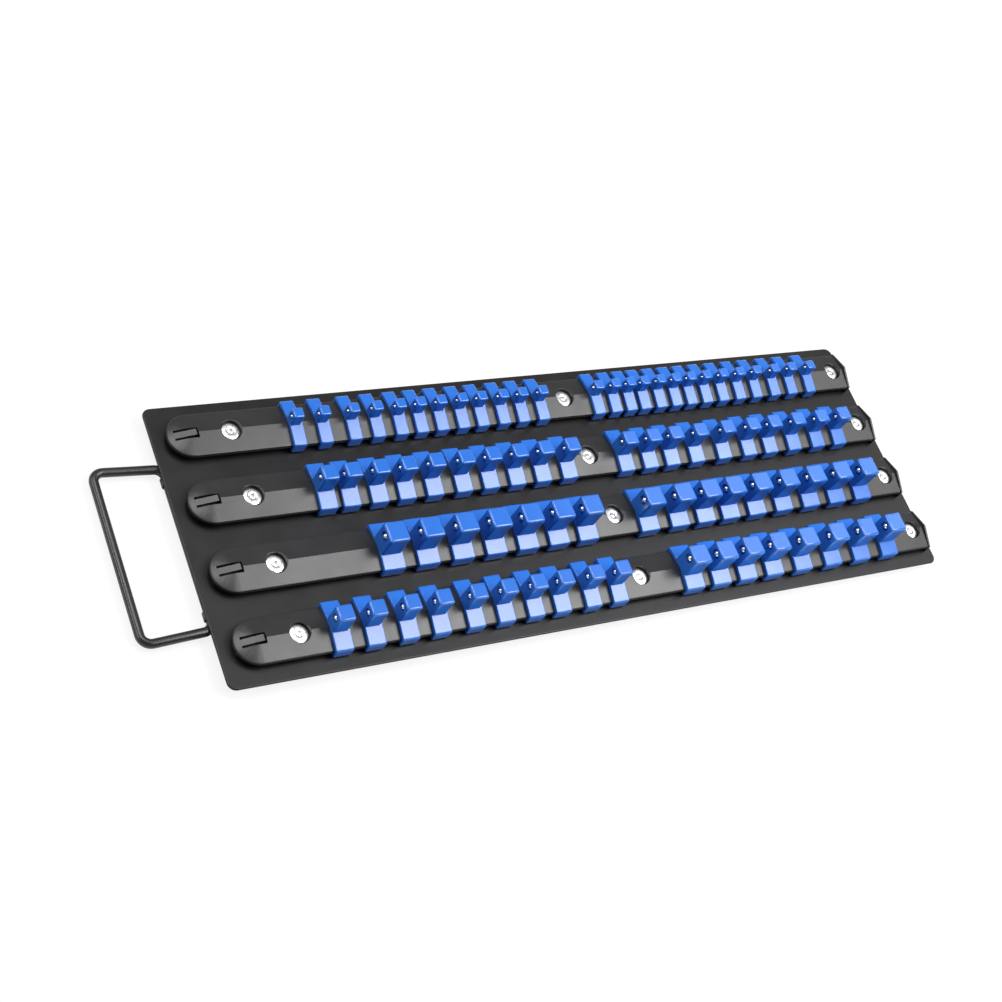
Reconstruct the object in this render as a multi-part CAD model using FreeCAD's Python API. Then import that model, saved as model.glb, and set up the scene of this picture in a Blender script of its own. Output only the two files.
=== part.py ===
"""Portable socket tray: a steel plate with a wire carry handle, four moulded rails riveted along it,
and sliding clips on the rails, each with a square drive stud and a spring-loaded ball.

Millimetres. +X runs along the rails away from the handle, +Y towards the rear rail, +Z up. The origin is
the centre of the footprint, handle included, at the level of the feet's soles.
"""
import FreeCAD, Part
import math
import os

V = FreeCAD.Vector

# ---- tray plate and feet ------------------------------------------------------------------------------
PLATE_LENGTH = 500.0
PLATE_WIDTH = 170.0
PLATE_THICKNESS = 1.5
PLATE_CORNER_RADIUS = 5.0
FOOT_HEIGHT = 7.0
FOOT_TOP_DIAMETER = 14.0
FOOT_SOLE_DIAMETER = 12.0
FOOT_INSET = 9.0             # foot centre from both plate edges

# ---- carry handle, a closed ring of wire, and its two straps --------------------------------------------
WIRE_DIAMETER = 5.2
WIRE_SIDES = 12              # the round wire is drawn with this many flats, to keep its mesh light
HANDLE_REACH = 35.5          # outer bar centre beyond the plate's edge
HANDLE_OUTER_WIDTH = 102.0   # between the arms' centres at the outer bar
HANDLE_INNER_WIDTH = 97.4    # between the arms' centres at the inner bar
HANDLE_BEND_RADIUS = 5.6     # to the centre of the wire
INNER_BAR_INSET = 3.6        # inner bar centre inside the plate's edge
RUNNING_FIT = 0.05           # wire in its straps and under the plate, ball in its pocket
STRAP_THICKNESS = 0.8
STRAP_WIDTH = 5.0
STRAP_EAR = 7.0              # flat ear welded under the plate
STRAP_TO_BEND = 0.2          # strap's side from the start of the wire's bend

# ---- rails --------------------------------------------------------------------------------------------
RAIL_COUNT = 4
RAIL_SIDE_INSET = 22.45      # outer rails' centre lines from the plate's long edges
RAIL_START_INSET = 7.5       # rail's nose from the plate's left edge
RAIL_END_INSET = 5.4         # rail's end stop from the plate's right edge
RAIL_WIDTH = 26.4
RAIL_EDGE_HEIGHT = 5.7       # top of the long edges above the plate
RAIL_SLOPE = 13.0            # degrees, each side of the ridge
RAIL_WING_UNDERSIDE = 3.6    # underside of the overhanging wings above the plate
RAIL_FOOT_WIDTH = 18.0       # narrow foot that stands on the plate
END_STOP_THICKNESS = 1.5
END_STOP_RISE = 2.0          # end stop above the ridge
END_STOP_SIDE_RISE = 0.4     # end stop above the long edges
END_STOP_OVERHANG = 0.6      # end stop beyond the long edges

# ---- stop tongues, one in each rail's nose ----------------------------------------------------------------
WINDOW_START = 3.6           # from the nose's tip
WINDOW_LENGTH = 13.6
WINDOW_WIDTH = 6.3
TONGUE_GAP = 1.1             # slot beside the tongue and at its free end
TONGUE_THICKNESS = 1.5
TONGUE_ROOT_DROP = 0.2       # top of the tongue's root below the nose's surface
TONGUE_RISE = 0.4            # top of the tongue's tip above the ridge, where it stops the clips

# ---- rivets ---------------------------------------------------------------------------------------------
RIVET_COUNT = 3
RIVET_NOSE_INSET = 36.5      # first rivet from the rail's nose
RIVET_END_INSET = 10.2       # last rivet from the rail's end
RIVET_SIDES = 8              # shank and head are drawn with this many flats, to keep their mesh light
RIVET_SHANK = 5.0
RIVET_HEAD = 8.5             # smooth head under the plate
RIVET_HEAD_THICKNESS = 1.0
RIVET_FLARE = 10.4           # flared tail in the rail's counterbore
RIVET_FLARE_THICKNESS = 1.3
RIVET_PETALS = 6
RIVET_NOTCH = 1.0            # depth of the splits between the petals
COUNTERBORE_GAP = 0.9        # round the flared tail
COUNTERBORE_FLOOR = 5.0      # above the plate

# ---- clips ----------------------------------------------------------------------------------------------
CLIP_CLEARANCE = 0.35        # beside the rail and under its wings; the roof sits on the rail
CLIP_ROOF = 2.6              # band thickness over the rail, measured upright
CLIP_LIP = 1.3               # wall outside the rail's edge
CLIP_BOTTOM = 1.0            # lip's bottom above the plate
CLIP_HOOK_GAP = 0.5          # hook's end to the rail's foot


class Drive:
    """One drive size: the clip's band, its square stud, and the ball in the stud's left face."""

    def __init__(self, square, shoulder, stud_top, chamfer, ball, ball_drop, proud, spring):
        self.square = square            # across the stud's flats
        self.band = square + shoulder   # clip's length along the rail
        self.stud_top = stud_top        # above the plate
        self.chamfer = chamfer          # along the stud's top edges
        self.ball = ball                # ball's diameter
        self.ball_drop = ball_drop      # ball's centre below the stud's top
        self.proud = proud              # ball beyond the stud's face, and the ball's travel
        self.spring = spring            # spring's length behind the ball


QUARTER = Drive(square=6.3, shoulder=1.5, stud_top=19.2, chamfer=0.6,
                ball=2.4, ball_drop=3.8, proud=0.5, spring=2.7)
THREE_EIGHTHS = Drive(square=9.4, shoulder=1.1, stud_top=23.8, chamfer=0.8,
                      ball=3.2, ball_drop=5.1, proud=0.65, spring=3.9)
HALF_INCH = Drive(square=12.6, shoulder=0.8, stud_top=25.2, chamfer=0.9,
                  ball=4.0, ball_drop=4.8, proud=0.8, spring=5.2)


class Bank:
    """A bank of clips between two rivets, as somebody's hand left them.

    The numbers are proportions: on a longer or shorter plate they share the room between the rivets.
    """

    def __init__(self, drive, after, before, pitches):
        self.drive = drive
        self.after = after        # from the rivet on the left to the first clip
        self.before = before      # from the last clip's left face to the rivet on the right
        self.pitches = pitches    # from clip to clip


BANKS = {
    "quarter_inch": (
        Bank(QUARTER, 33.5, 24.0, [16.5, 18.3, 15, 15, 13.3, 13.7, 14.3, 13.4, 14.9, 13.7, 14.5]),
        Bank(QUARTER, 17.4, 30.1, [12.8, 11.6, 11, 12.4, 12.3, 12, 12.7, 13.5, 14, 14, 15.5, 14.7, 16])),
    "three_eighths": (
        Bank(THREE_EIGHTHS, 35.7, 24.5, [14.3, 17.5, 17.5, 18, 19.3, 18.2, 18.2, 18.2, 18.8]),
        Bank(THREE_EIGHTHS, 17.9, 28.8, [18, 17, 19.4, 21.7, 20.6, 17.7, 20, 20.2, 18.9])),
    "half_inch": (
        Bank(HALF_INCH, 59.8, 30.9, [22, 22.3, 21.7, 21.6, 21.2, 20.7]),
        Bank(HALF_INCH, 14.1, 33.7, [22.8, 20.3, 19.4, 21.2, 22, 22.7, 22.3, 22.2])),
    "mixed": (
        Bank(THREE_EIGHTHS, 16.3, 25.5, [19.2, 20.6, 19.7, 21.8, 19.6, 19.6, 18.1, 21, 18.9]),
        Bank(HALF_INCH, 27.9, 34.2, [20.3, 20.3, 21.2, 23.3, 24.6, 24.2, 24])),
}

# ---- places worked out from the sizes -----------------------------------------------------------------------
HANDLE_OVERHANG = HANDLE_REACH + WIRE_DIAMETER / 2
PLATE_LEFT = (HANDLE_OVERHANG - PLATE_LENGTH) / 2
PLATE_TOP = FOOT_HEIGHT + PLATE_THICKNESS
WIRE_LEVEL = FOOT_HEIGHT - RUNNING_FIT - WIRE_DIAMETER / 2
PIVOT_X = PLATE_LEFT + INNER_BAR_INSET
RAIL_NOSE_X = PLATE_LEFT + RAIL_START_INSET
RAIL_LENGTH = PLATE_LENGTH - RAIL_START_INSET - RAIL_END_INSET
RAIL_PITCH = (PLATE_WIDTH - 2 * RAIL_SIDE_INSET) / (RAIL_COUNT - 1)
SLOPE = math.tan(math.radians(RAIL_SLOPE))
RIDGE_HEIGHT = RAIL_EDGE_HEIGHT + RAIL_WIDTH / 2 * SLOPE
NOSE_CENTRE_X = RAIL_WIDTH / 2
RIVET_PITCH = (RAIL_LENGTH - RIVET_NOSE_INSET - RIVET_END_INSET) / (RIVET_COUNT - 1)


def rail_y(row):
    """Centre line of a rail, counted from the rear."""
    return ((RAIL_COUNT - 1) / 2 - row) * RAIL_PITCH


def rivet_x(number):
    return RAIL_NOSE_X + RIVET_NOSE_INSET + RIVET_PITCH * number


def rivet_places():
    return [(rivet_x(i), rail_y(row)) for row in range(RAIL_COUNT) for i in range(RIVET_COUNT)]


def nose_height(x):
    """Height of the nose's middle above the plate, x from the nose's tip."""
    return RAIL_EDGE_HEIGHT + x * SLOPE


# ---- small helpers --------------------------------------------------------------------------------------------
def box(low, high):
    return Part.makeBox(high[0] - low[0], high[1] - low[1], high[2] - low[2], V(*low))


def face(points):
    corners = [V(*p) for p in points]
    return Part.Face(Part.makePolygon(corners + corners[:1]))


def around(centre, radius, count, first, second, turn=0.0):
    """Corners of a regular polygon in the plane of two directions, turned by a share of one side."""
    angles = [2 * math.pi * (i + turn) / count for i in range(count)]
    return [centre + first * (radius * math.cos(a)) + second * (radius * math.sin(a)) for a in angles]


def prism(centre, radius, sides, height):
    """Upright prism that stands for a small round bar."""
    return face(around(centre, radius, sides, V(1, 0, 0), V(0, 1, 0), 0.5)).extrude(V(0, 0, height))


def on_rail(shape, row):
    """Move a shape drawn from a rail's nose, above the plate, to its rail."""
    shape.translate(V(RAIL_NOSE_X, rail_y(row), PLATE_TOP))
    return shape


def save(name, shape):
    shape.exportStep("parts/" + name + ".step")


# ---- plate and feet -----------------------------------------------------------------------------------------------
def tray_plate():
    plate = box((PLATE_LEFT, -PLATE_WIDTH / 2, FOOT_HEIGHT),
                (PLATE_LEFT + PLATE_LENGTH, PLATE_WIDTH / 2, PLATE_TOP))
    upright = [e for e in plate.Edges if abs(e.tangentAt(e.FirstParameter).z) > 0.9]
    plate = plate.makeFillet(PLATE_CORNER_RADIUS, upright)
    holes = [prism(V(x, y, FOOT_HEIGHT), RIVET_SHANK / 2, RIVET_SIDES, PLATE_THICKNESS)
             for x, y in rivet_places()]
    return plate.cut(holes)


def rubber_feet():
    across = PLATE_LENGTH / 2 - FOOT_INSET
    along = PLATE_WIDTH / 2 - FOOT_INSET
    middle = PLATE_LEFT + PLATE_LENGTH / 2
    corners = [V(middle + sx * across, sy * along, 0) for sx in (-1, 1) for sy in (-1, 1)]
    return Part.makeCompound([Part.makeCone(FOOT_SOLE_DIAMETER / 2, FOOT_TOP_DIAMETER / 2, FOOT_HEIGHT, c)
                              for c in corners])


# ---- handle ---------------------------------------------------------------------------------------------------------
def wire_section(centre, direction):
    side = direction.cross(V(0, 0, 1))
    return face(around(centre, WIRE_DIAMETER / 2, WIRE_SIDES, side, V(0, 0, 1)))


def carry_handle():
    """Closed ring of wire: two splayed arms, the outer bar to hold, and the inner bar to turn on."""
    outer_x = PLATE_LEFT - HANDLE_REACH
    half_in, half_out = HANDLE_INNER_WIDTH / 2, HANDLE_OUTER_WIDTH / 2
    corners = [V(PIVOT_X, -half_in, WIRE_LEVEL), V(PIVOT_X, half_in, WIRE_LEVEL),
               V(outer_x, half_out, WIRE_LEVEL), V(outer_x, -half_out, WIRE_LEVEL)]
    pieces = []
    ends = []
    for i, corner in enumerate(corners):
        before = (corners[i - 1] - corner).normalize()
        after = (corners[(i + 1) % 4] - corner).normalize()
        half_angle = before.getAngle(after) / 2
        setback = HANDLE_BEND_RADIUS / math.tan(half_angle)
        centre = corner + (before + after).normalize() * (HANDLE_BEND_RADIUS / math.sin(half_angle))
        start = corner + before * setback
        turn = 180 - math.degrees(2 * half_angle)
        pieces.append(wire_section(start, before * -1).revolve(centre, V(0, 0, 1), turn))
        ends.append((start, corner + after * setback, after))
    for i, (_, bend_end, direction) in enumerate(ends):
        run = ends[(i + 1) % 4][0] - bend_end
        pieces.append(wire_section(bend_end, direction).extrude(run))
    return pieces[0].fuse(pieces[1:]).removeSplitter()


def handle_strap(side):
    """Strap that holds the inner bar up under the plate: a U round the wire, and a welded ear."""
    inner = WIRE_DIAMETER / 2 + RUNNING_FIT
    outer = inner + STRAP_THICKNESS
    middle = HANDLE_INNER_WIDTH / 2 - HANDLE_BEND_RADIUS - STRAP_TO_BEND - STRAP_WIDTH / 2
    low = side * middle - STRAP_WIDTH / 2
    high = low + STRAP_WIDTH
    pivot = V(PIVOT_X, low, WIRE_LEVEL)
    legs = box((PIVOT_X - outer, low, WIRE_LEVEL), (PIVOT_X + outer, high, FOOT_HEIGHT))
    under = box((PIVOT_X - outer, low, WIRE_LEVEL - outer), (PIVOT_X + outer, high, WIRE_LEVEL))
    drum = Part.makeCylinder(outer, STRAP_WIDTH, pivot, V(0, 1, 0)).common(under)
    ear = box((PIVOT_X + inner, low, FOOT_HEIGHT - STRAP_THICKNESS),
              (PIVOT_X + outer + STRAP_EAR, high, FOOT_HEIGHT))
    bore = Part.makeCylinder(inner, STRAP_WIDTH, pivot, V(0, 1, 0))
    mouth = box((PIVOT_X - inner, low, WIRE_LEVEL), (PIVOT_X + inner, high, FOOT_HEIGHT))
    return drum.fuse([legs, ear]).cut([bore, mouth]).removeSplitter()


# ---- rails, tongues and rivets ------------------------------------------------------------------------------------
def half_profile():
    """Half of the rail's section, from the ridge down: a gabled head on a narrow foot."""
    half, foot = RAIL_WIDTH / 2, RAIL_FOOT_WIDTH / 2
    return [(0, RIDGE_HEIGHT), (half, RAIL_EDGE_HEIGHT), (half, RAIL_WING_UNDERSIDE), (foot, RAIL_WING_UNDERSIDE),
            (foot, 0), (0, 0)]


def rail_body():
    """The section run along the rail, and its half turned about an upright axis for the round nose."""
    half = half_profile()
    section = half[:-1] + [(-y, z) for y, z in reversed(half[1:-1])]
    straight = face([(NOSE_CENTRE_X, y, z) for y, z in section]).extrude(V(RAIL_LENGTH - NOSE_CENTRE_X, 0, 0))
    turned = face([(NOSE_CENTRE_X, y, z) for y, z in half])
    return straight.fuse(turned.revolve(V(NOSE_CENTRE_X, 0, 0), V(0, 0, 1), 180))


def end_stop():
    """Upstanding stop across the rail's far end, down to the plate."""
    half, x = RAIL_WIDTH / 2 + END_STOP_OVERHANG, RAIL_LENGTH - END_STOP_THICKNESS
    side, ridge = RAIL_EDGE_HEIGHT + END_STOP_SIDE_RISE, RIDGE_HEIGHT + END_STOP_RISE
    outline = [(x, -half, 0), (x, half, 0), (x, half, side), (x, 0, ridge), (x, -half, side)]
    return face(outline).extrude(V(END_STOP_THICKNESS, 0, 0))


def rail(row):
    cuts = [box((WINDOW_START, -WINDOW_WIDTH / 2, 0),
                (WINDOW_START + WINDOW_LENGTH, WINDOW_WIDTH / 2, RIDGE_HEIGHT))]
    for i in range(RIVET_COUNT):
        x = RIVET_NOSE_INSET + RIVET_PITCH * i
        cuts.append(prism(V(x, 0, 0), RIVET_SHANK / 2, RIVET_SIDES, COUNTERBORE_FLOOR))
        cuts.append(Part.makeCylinder(RIVET_FLARE / 2 + COUNTERBORE_GAP, RIDGE_HEIGHT,
                                      V(x, 0, COUNTERBORE_FLOOR)))
    return on_rail(rail_body().fuse(end_stop()).cut(cuts).removeSplitter(), row)


def stop_tongue(row):
    """Springy tongue that stands up in the nose's window and keeps the clips on the rail."""
    half = WINDOW_WIDTH / 2 - TONGUE_GAP
    tip_x = WINDOW_START + WINDOW_LENGTH - TONGUE_GAP
    root = nose_height(WINDOW_START) - TONGUE_ROOT_DROP
    tip = RIDGE_HEIGHT + TONGUE_RISE
    side = [(WINDOW_START, -half, root - TONGUE_THICKNESS), (tip_x, -half, tip - TONGUE_THICKNESS),
            (tip_x, -half, tip), (WINDOW_START, -half, root)]
    return on_rail(face(side).extrude(V(0, 2 * half, 0)), row)


def rivet(x, y):
    """Smooth head under the plate, shank through plate and rail, tail flared into petals."""
    floor = PLATE_TOP + COUNTERBORE_FLOOR
    head_low = FOOT_HEIGHT - RIVET_HEAD_THICKNESS
    head = prism(V(x, y, head_low), RIVET_HEAD / 2, RIVET_SIDES, RIVET_HEAD_THICKNESS)
    shank = prism(V(x, y, FOOT_HEIGHT), RIVET_SHANK / 2, RIVET_SIDES, floor - FOOT_HEIGHT)
    centre, ahead, aside = V(x, y, floor), V(1, 0, 0), V(0, 1, 0)
    starts = around(centre, RIVET_FLARE / 2, RIVET_PETALS, ahead, aside, 0.15)
    stops = around(centre, RIVET_FLARE / 2, RIVET_PETALS, ahead, aside, 0.85)
    splits = around(centre, RIVET_FLARE / 2 - RIVET_NOTCH, RIVET_PETALS, ahead, aside, 1.0)
    star = [corner for petal in zip(starts, stops, splits) for corner in petal]
    flare = face(star).extrude(V(0, 0, RIVET_FLARE_THICKNESS))
    return head.fuse([shank, flare])


# ---- clips, drawn with the left face at x = 0, y = 0 on the rail's centre line, z = 0 on the plate -------------------
def clip_profile():
    """Band over the gable, with a lip and a hook on each side."""
    inside = RAIL_WIDTH / 2 + CLIP_CLEARANCE
    outside = inside + CLIP_LIP
    hook = RAIL_FOOT_WIDTH / 2 + CLIP_HOOK_GAP
    hook_top = RAIL_WING_UNDERSIDE - CLIP_CLEARANCE
    top = RIDGE_HEIGHT + CLIP_ROOF
    right = [(0, top), (outside, top - outside * SLOPE), (outside, CLIP_BOTTOM), (hook, CLIP_BOTTOM),
             (hook, hook_top), (inside, hook_top), (inside, RIDGE_HEIGHT - inside * SLOPE), (0, RIDGE_HEIGHT)]
    return right + [(-y, z) for y, z in reversed(right[1:-1])]


def stud(drive):
    """Square stud with chamfered top edges, its foot in the band's roof and above the rail's ridge."""
    half = drive.square / 2
    foot = RIDGE_HEIGHT + (CLIP_ROOF - half * SLOPE) / 2
    post = box((0, -half, foot), (drive.square, half, drive.stud_top))
    top_edges = [e for e in post.Edges if e.BoundBox.ZMin > drive.stud_top - 0.01]
    return post.makeChamfer(drive.chamfer, top_edges)


def clip(drive):
    """One moulded clip with a pocket for its ball and spring."""
    band = face([(0, y, z) for y, z in clip_profile()]).extrude(V(drive.band, 0, 0))
    mouth = V(0, 0, drive.stud_top - drive.ball_drop)
    corner_radius = (drive.ball / 2 + RUNNING_FIT) / math.cos(math.pi / 6)
    outline = face(around(mouth, corner_radius, 6, V(0, 1, 0), V(0, 0, 1)))
    pocket = outline.extrude(V(drive.ball - drive.proud + drive.spring, 0, 0))
    return band.fuse(stud(drive)).cut(pocket).removeSplitter()


def ball(drive):
    """Steel ball, drawn with two poles and two rings of six corners to keep its mesh light."""
    r = drive.ball / 2
    centre = V(r - drive.proud, 0, drive.stud_top - drive.ball_drop)
    poles = [centre - V(r, 0, 0), centre + V(r, 0, 0)]
    rings = [around(centre + V(x, 0, 0), r, 6, V(0, 1, 0), V(0, 0, 1), 0.5) for x in (-0.4 * r, 0.4 * r)]
    faces = []
    for i in range(6):
        j = (i + 1) % 6
        faces.append(face([rings[0][i], rings[0][j], rings[1][j], rings[1][i]]))
        faces += [face([poles[k], rings[k][i], rings[k][j]]) for k in (0, 1)]
    return Part.makeSolid(Part.makeShell(faces))


def spring(drive):
    """Coil spring behind the ball, drawn as a square bar as wide as the coil."""
    half, middle = drive.ball / 4, drive.stud_top - drive.ball_drop
    start = drive.ball - drive.proud
    return box((start, -half, middle - half), (start + drive.spring, half, middle + half))


# ---- banks of clips -----------------------------------------------------------------------------------------------------
def clip_places(bank, number):
    """Left face of each clip in the bank to the right of a rivet."""
    gaps = [bank.after] + bank.pitches + [bank.before]
    share = RIVET_PITCH / sum(gaps)
    return [rivet_x(number) + share * sum(gaps[:i]) for i in range(1, len(gaps))]


def save_group(name, row, drive, places):
    """Save the clips that slide as one, with their balls and springs."""
    plural = "s" if len(places) > 1 else ""
    for kind, shape in (("clip", clip(drive)), ("ball", ball(drive)), ("spring", spring(drive))):
        solids = [shape.translated(V(x, rail_y(row), PLATE_TOP)) for x in places]
        save(name + "_" + kind + plural, Part.makeCompound(solids) if plural else solids[0])


def save_banks(row, name):
    """The first clip and, where the bank ends with a loose one, the last clip are groups of their own."""
    left, right = BANKS[name]
    left_places, right_places = clip_places(left, 0), clip_places(right, 1)
    save_group(name + "_first", row, left.drive, left_places[:1])
    save_group(name + "_left", row, left.drive, left_places[1:])
    if name == "mixed":
        save_group(name + "_right", row, right.drive, right_places)
    else:
        save_group(name + "_right", row, right.drive, right_places[:-1])
        save_group(name + "_last", row, right.drive, right_places[-1:])


os.makedirs("parts", exist_ok=True)
save("tray_plate", tray_plate())
save("rubber_feet", rubber_feet())
save("carry_handle", carry_handle())
save("handle_straps", Part.makeCompound([handle_strap(side) for side in (-1, 1)]))
save("rail_rivets", Part.makeCompound([rivet(x, y) for x, y in rivet_places()]))
for row, name in enumerate(BANKS):
    save(name + "_rail", rail(row))
    save(name + "_stop_tongue", stop_tongue(row))
    save_banks(row, name)
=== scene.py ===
# %% [markdown]
# # A socket tray with sliding clips
#
# This lesson dresses a socket tray: a dark steel plate with a wire handle, four moulded rails riveted
# along it, and blue clips that slide on the rails. Each clip has a square drive stud, and a steel ball
# in the stud's left face that a spring pushes outwards. The shapes that matter for size and for motion
# come from the frame, so every measure here is read from it or named once.

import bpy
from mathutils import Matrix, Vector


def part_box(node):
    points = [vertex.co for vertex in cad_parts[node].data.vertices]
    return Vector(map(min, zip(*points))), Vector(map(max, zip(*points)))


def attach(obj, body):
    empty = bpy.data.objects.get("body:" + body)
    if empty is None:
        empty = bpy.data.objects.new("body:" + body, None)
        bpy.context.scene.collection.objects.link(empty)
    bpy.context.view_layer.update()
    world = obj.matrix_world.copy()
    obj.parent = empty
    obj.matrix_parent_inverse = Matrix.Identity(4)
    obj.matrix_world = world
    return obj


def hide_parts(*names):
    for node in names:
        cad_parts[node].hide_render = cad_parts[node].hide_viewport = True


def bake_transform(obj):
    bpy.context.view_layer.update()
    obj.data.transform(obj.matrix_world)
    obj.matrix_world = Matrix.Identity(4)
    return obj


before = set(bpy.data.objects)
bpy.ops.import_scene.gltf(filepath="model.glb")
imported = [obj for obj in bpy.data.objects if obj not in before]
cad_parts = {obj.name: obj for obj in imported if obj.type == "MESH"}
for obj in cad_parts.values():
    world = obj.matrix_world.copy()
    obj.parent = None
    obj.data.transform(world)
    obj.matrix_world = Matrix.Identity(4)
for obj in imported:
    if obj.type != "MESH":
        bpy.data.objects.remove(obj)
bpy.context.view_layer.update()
print("frame loaded,", len(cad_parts), "nodes")

# %% [markdown]
# ## Tools and units
#
# Blender works in metres here, but a maker thinks of a clip in millimetres, so small sizes are written
# as millimetres times MM. Every mesh is drawn with bmesh, because it needs no selection and no mode.

# %% Tools and units
import math

import bmesh
import bpy
from mathutils import Matrix, Vector

MM = 0.001
TOUCHING = 0.001 * MM    # points closer than this are taken as one
X, Z = Vector((1, 0, 0)), Vector((0, 0, 1))
RAILS = ("quarter_inch", "three_eighths", "half_inch", "mixed")
print("rails, rear to front:", ", ".join(RAILS))

# %% [markdown]
# ## Materials
#
# A finish is more than a colour, so each one here is a small net of shader nodes. A short helper adds a
# node, sets its numbers and links it in one call, which keeps the net easy to read.

# %% A helper that adds a shader node
def add_node(tree, kind, inputs, **settings):
    """A new node. Each of its inputs takes a number, a colour or the output of another node."""
    node = tree.nodes.new(kind)
    for setting, value in settings.items():
        setattr(node, setting, value)
    for socket, value in inputs.items():
        if isinstance(value, bpy.types.NodeSocket):
            tree.links.new(value, node.inputs[socket])
        else:
            node.inputs[socket].default_value = value
    return node


print("node helper ready")

# %% [markdown]
# Real paint has a slight orange peel, moulded plastic has faint flow and a satin skin, and metal has fine
# scratches. One helper makes all of them from two noises: soft clouds shift the colour a little, clouds
# and grain together shift the roughness, and the grain alone gives a fine bump. Both noises read Object
# coordinates, so the grain has a real size in metres on every piece.

# %% A helper for finishes
CLOUDS_PER_METRE = 60
NOISE_LOW, NOISE_HIGH = 0.35, 0.65    # most of a noise's values lie between these
BUMP_DEPTH = 0.05 * MM


def finish(name, colour, shift, roughness, rough_shift, grain_mm, bump, metallic=0.0, specular=0.5):
    """Principled material with gentle procedural variation. colour is linear RGB."""
    material = bpy.data.materials.new(name)
    material.use_nodes = True
    tree = material.node_tree
    place = add_node(tree, "ShaderNodeTexCoord", {}).outputs["Object"]
    clouds = add_node(tree, "ShaderNodeTexNoise",
                      {"Vector": place, "Scale": CLOUDS_PER_METRE, "Detail": 4}).outputs["Fac"]
    grain = add_node(tree, "ShaderNodeTexNoise",
                     {"Vector": place, "Scale": 1 / (grain_mm * MM), "Detail": 3}).outputs["Fac"]
    darker = (*[c * (1 - shift) for c in colour], 1)
    lighter = (*[min(1, c * (1 + shift)) for c in colour], 1)
    tint = add_node(tree, "ShaderNodeMix", {"Factor": clouds, "A": darker, "B": lighter}, data_type="RGBA")
    half_clouds = add_node(tree, "ShaderNodeMath", {0: clouds, 1: 0.5}, operation="MULTIPLY")
    wear = add_node(tree, "ShaderNodeMath", {0: grain, 1: 0.5, 2: half_clouds.outputs["Value"]},
                    operation="MULTIPLY_ADD")
    gloss = add_node(tree, "ShaderNodeMapRange",
                     {"Value": wear.outputs["Value"], "From Min": NOISE_LOW, "From Max": NOISE_HIGH,
                      "To Min": roughness - rough_shift, "To Max": roughness + rough_shift})
    relief = add_node(tree, "ShaderNodeBump", {"Height": grain, "Strength": bump, "Distance": BUMP_DEPTH})
    shader = tree.nodes["Principled BSDF"]
    tree.links.new(tint.outputs["Result"], shader.inputs["Base Color"])
    tree.links.new(gloss.outputs["Result"], shader.inputs["Roughness"])
    tree.links.new(relief.outputs["Normal"], shader.inputs["Normal"])
    shader.inputs["Metallic"].default_value = metallic
    shader.inputs["Specular IOR Level"].default_value = specular
    print("finish", name)
    return material


print("finish helper ready")

# %% [markdown]
# The plate and the wire are steel under a dark coat, so no bare metal shows. They could be a metal with a
# tint, but a coat mirrors like paint, with a soft and nearly colourless sheen. The powder coat of the
# plate is a little rougher than the coat of the wire and has more relief.

# %% Coated steel
PAINT = finish("charcoal_powder_coat", (0.0040, 0.0040, 0.0050), shift=0.20, roughness=0.38,
               rough_shift=0.06, grain_mm=0.5, bump=0.35, specular=0.35)
WIRE_COAT = finish("satin_black_coat", (0.012, 0.012, 0.013), shift=0.15, roughness=0.30,
                   rough_shift=0.06, grain_mm=0.6, bump=0.20)

# %% [markdown]
# Rails and clips are moulded plastic. The rails come from an etched mould that leaves a satin skin with a
# fine grain, and the clips from a smoother one, so their slopes and rounded edges catch the light. The
# colour hardly varies, because it is mixed through before moulding.

# %% Moulded plastic
RAIL_PLASTIC = finish("dark_moulded_plastic", (0.018, 0.018, 0.019), shift=0.15, roughness=0.34,
                      rough_shift=0.06, grain_mm=0.35, bump=0.30)
BLUE_PLASTIC = finish("blue_moulded_plastic", (0.016, 0.128, 0.52), shift=0.06, roughness=0.21,
                      rough_shift=0.04, grain_mm=0.8, bump=0.10, specular=0.68)

# %% [markdown]
# Rivets, balls and springs are bare metal, so their base colour is the colour of the mirror itself and
# metallic is one. What sets them apart is roughness: a rivet is rolled over under a tool, a spring is
# drawn through a die, and a ball is polished.

# %% Bare metal
RIVET_METAL = finish("bright_formed_metal", (0.76, 0.77, 0.78), shift=0.08, roughness=0.34,
                     rough_shift=0.08, grain_mm=0.8, bump=0.10, metallic=1.0)
BALL_METAL = finish("polished_steel", (0.84, 0.84, 0.85), shift=0.03, roughness=0.22,
                    rough_shift=0.02, grain_mm=0.3, bump=0.04, metallic=1.0)
SPRING_METAL = finish("drawn_spring_wire", (0.55, 0.55, 0.54), shift=0.08, roughness=0.30,
                      rough_shift=0.08, grain_mm=0.2, bump=0.3, metallic=1.0)

# %% [markdown]
# The feet are black rubber. Rubber scatters what little light it gives back, so it is the roughest
# finish on the tray and has the strongest bump.

# %% Rubber
RUBBER = finish("black_rubber", (0.018, 0.018, 0.018), shift=0.2, roughness=0.75,
                rough_shift=0.1, grain_mm=0.4, bump=0.6)

# %% [markdown]
# ## How a piece is kept
#
# Every piece is drawn in a bmesh, in metres, where it belongs on the tray, so its object stays at the
# origin. One helper turns the bmesh into an object, gives it a finish, and hangs it on the body that it
# moves with. Shading matters as much as shape: a wide flat face stays flat, so that it mirrors the lamps
# like a real flat face, and the narrow faces of a rounding or a turned form are shaded smooth.

# %% Shade a mesh and keep it as a piece
ALL_SMOOTH = 1e6     # square millimetres: no face is as wide as this, so none stays flat
LEVEL_BEND = 0.002   # radians: an edge that bends less only divides a flat in two


def level(edge):
    return len(edge.link_faces) == 2 and edge.calc_face_angle(1) < LEVEL_BEND


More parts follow.
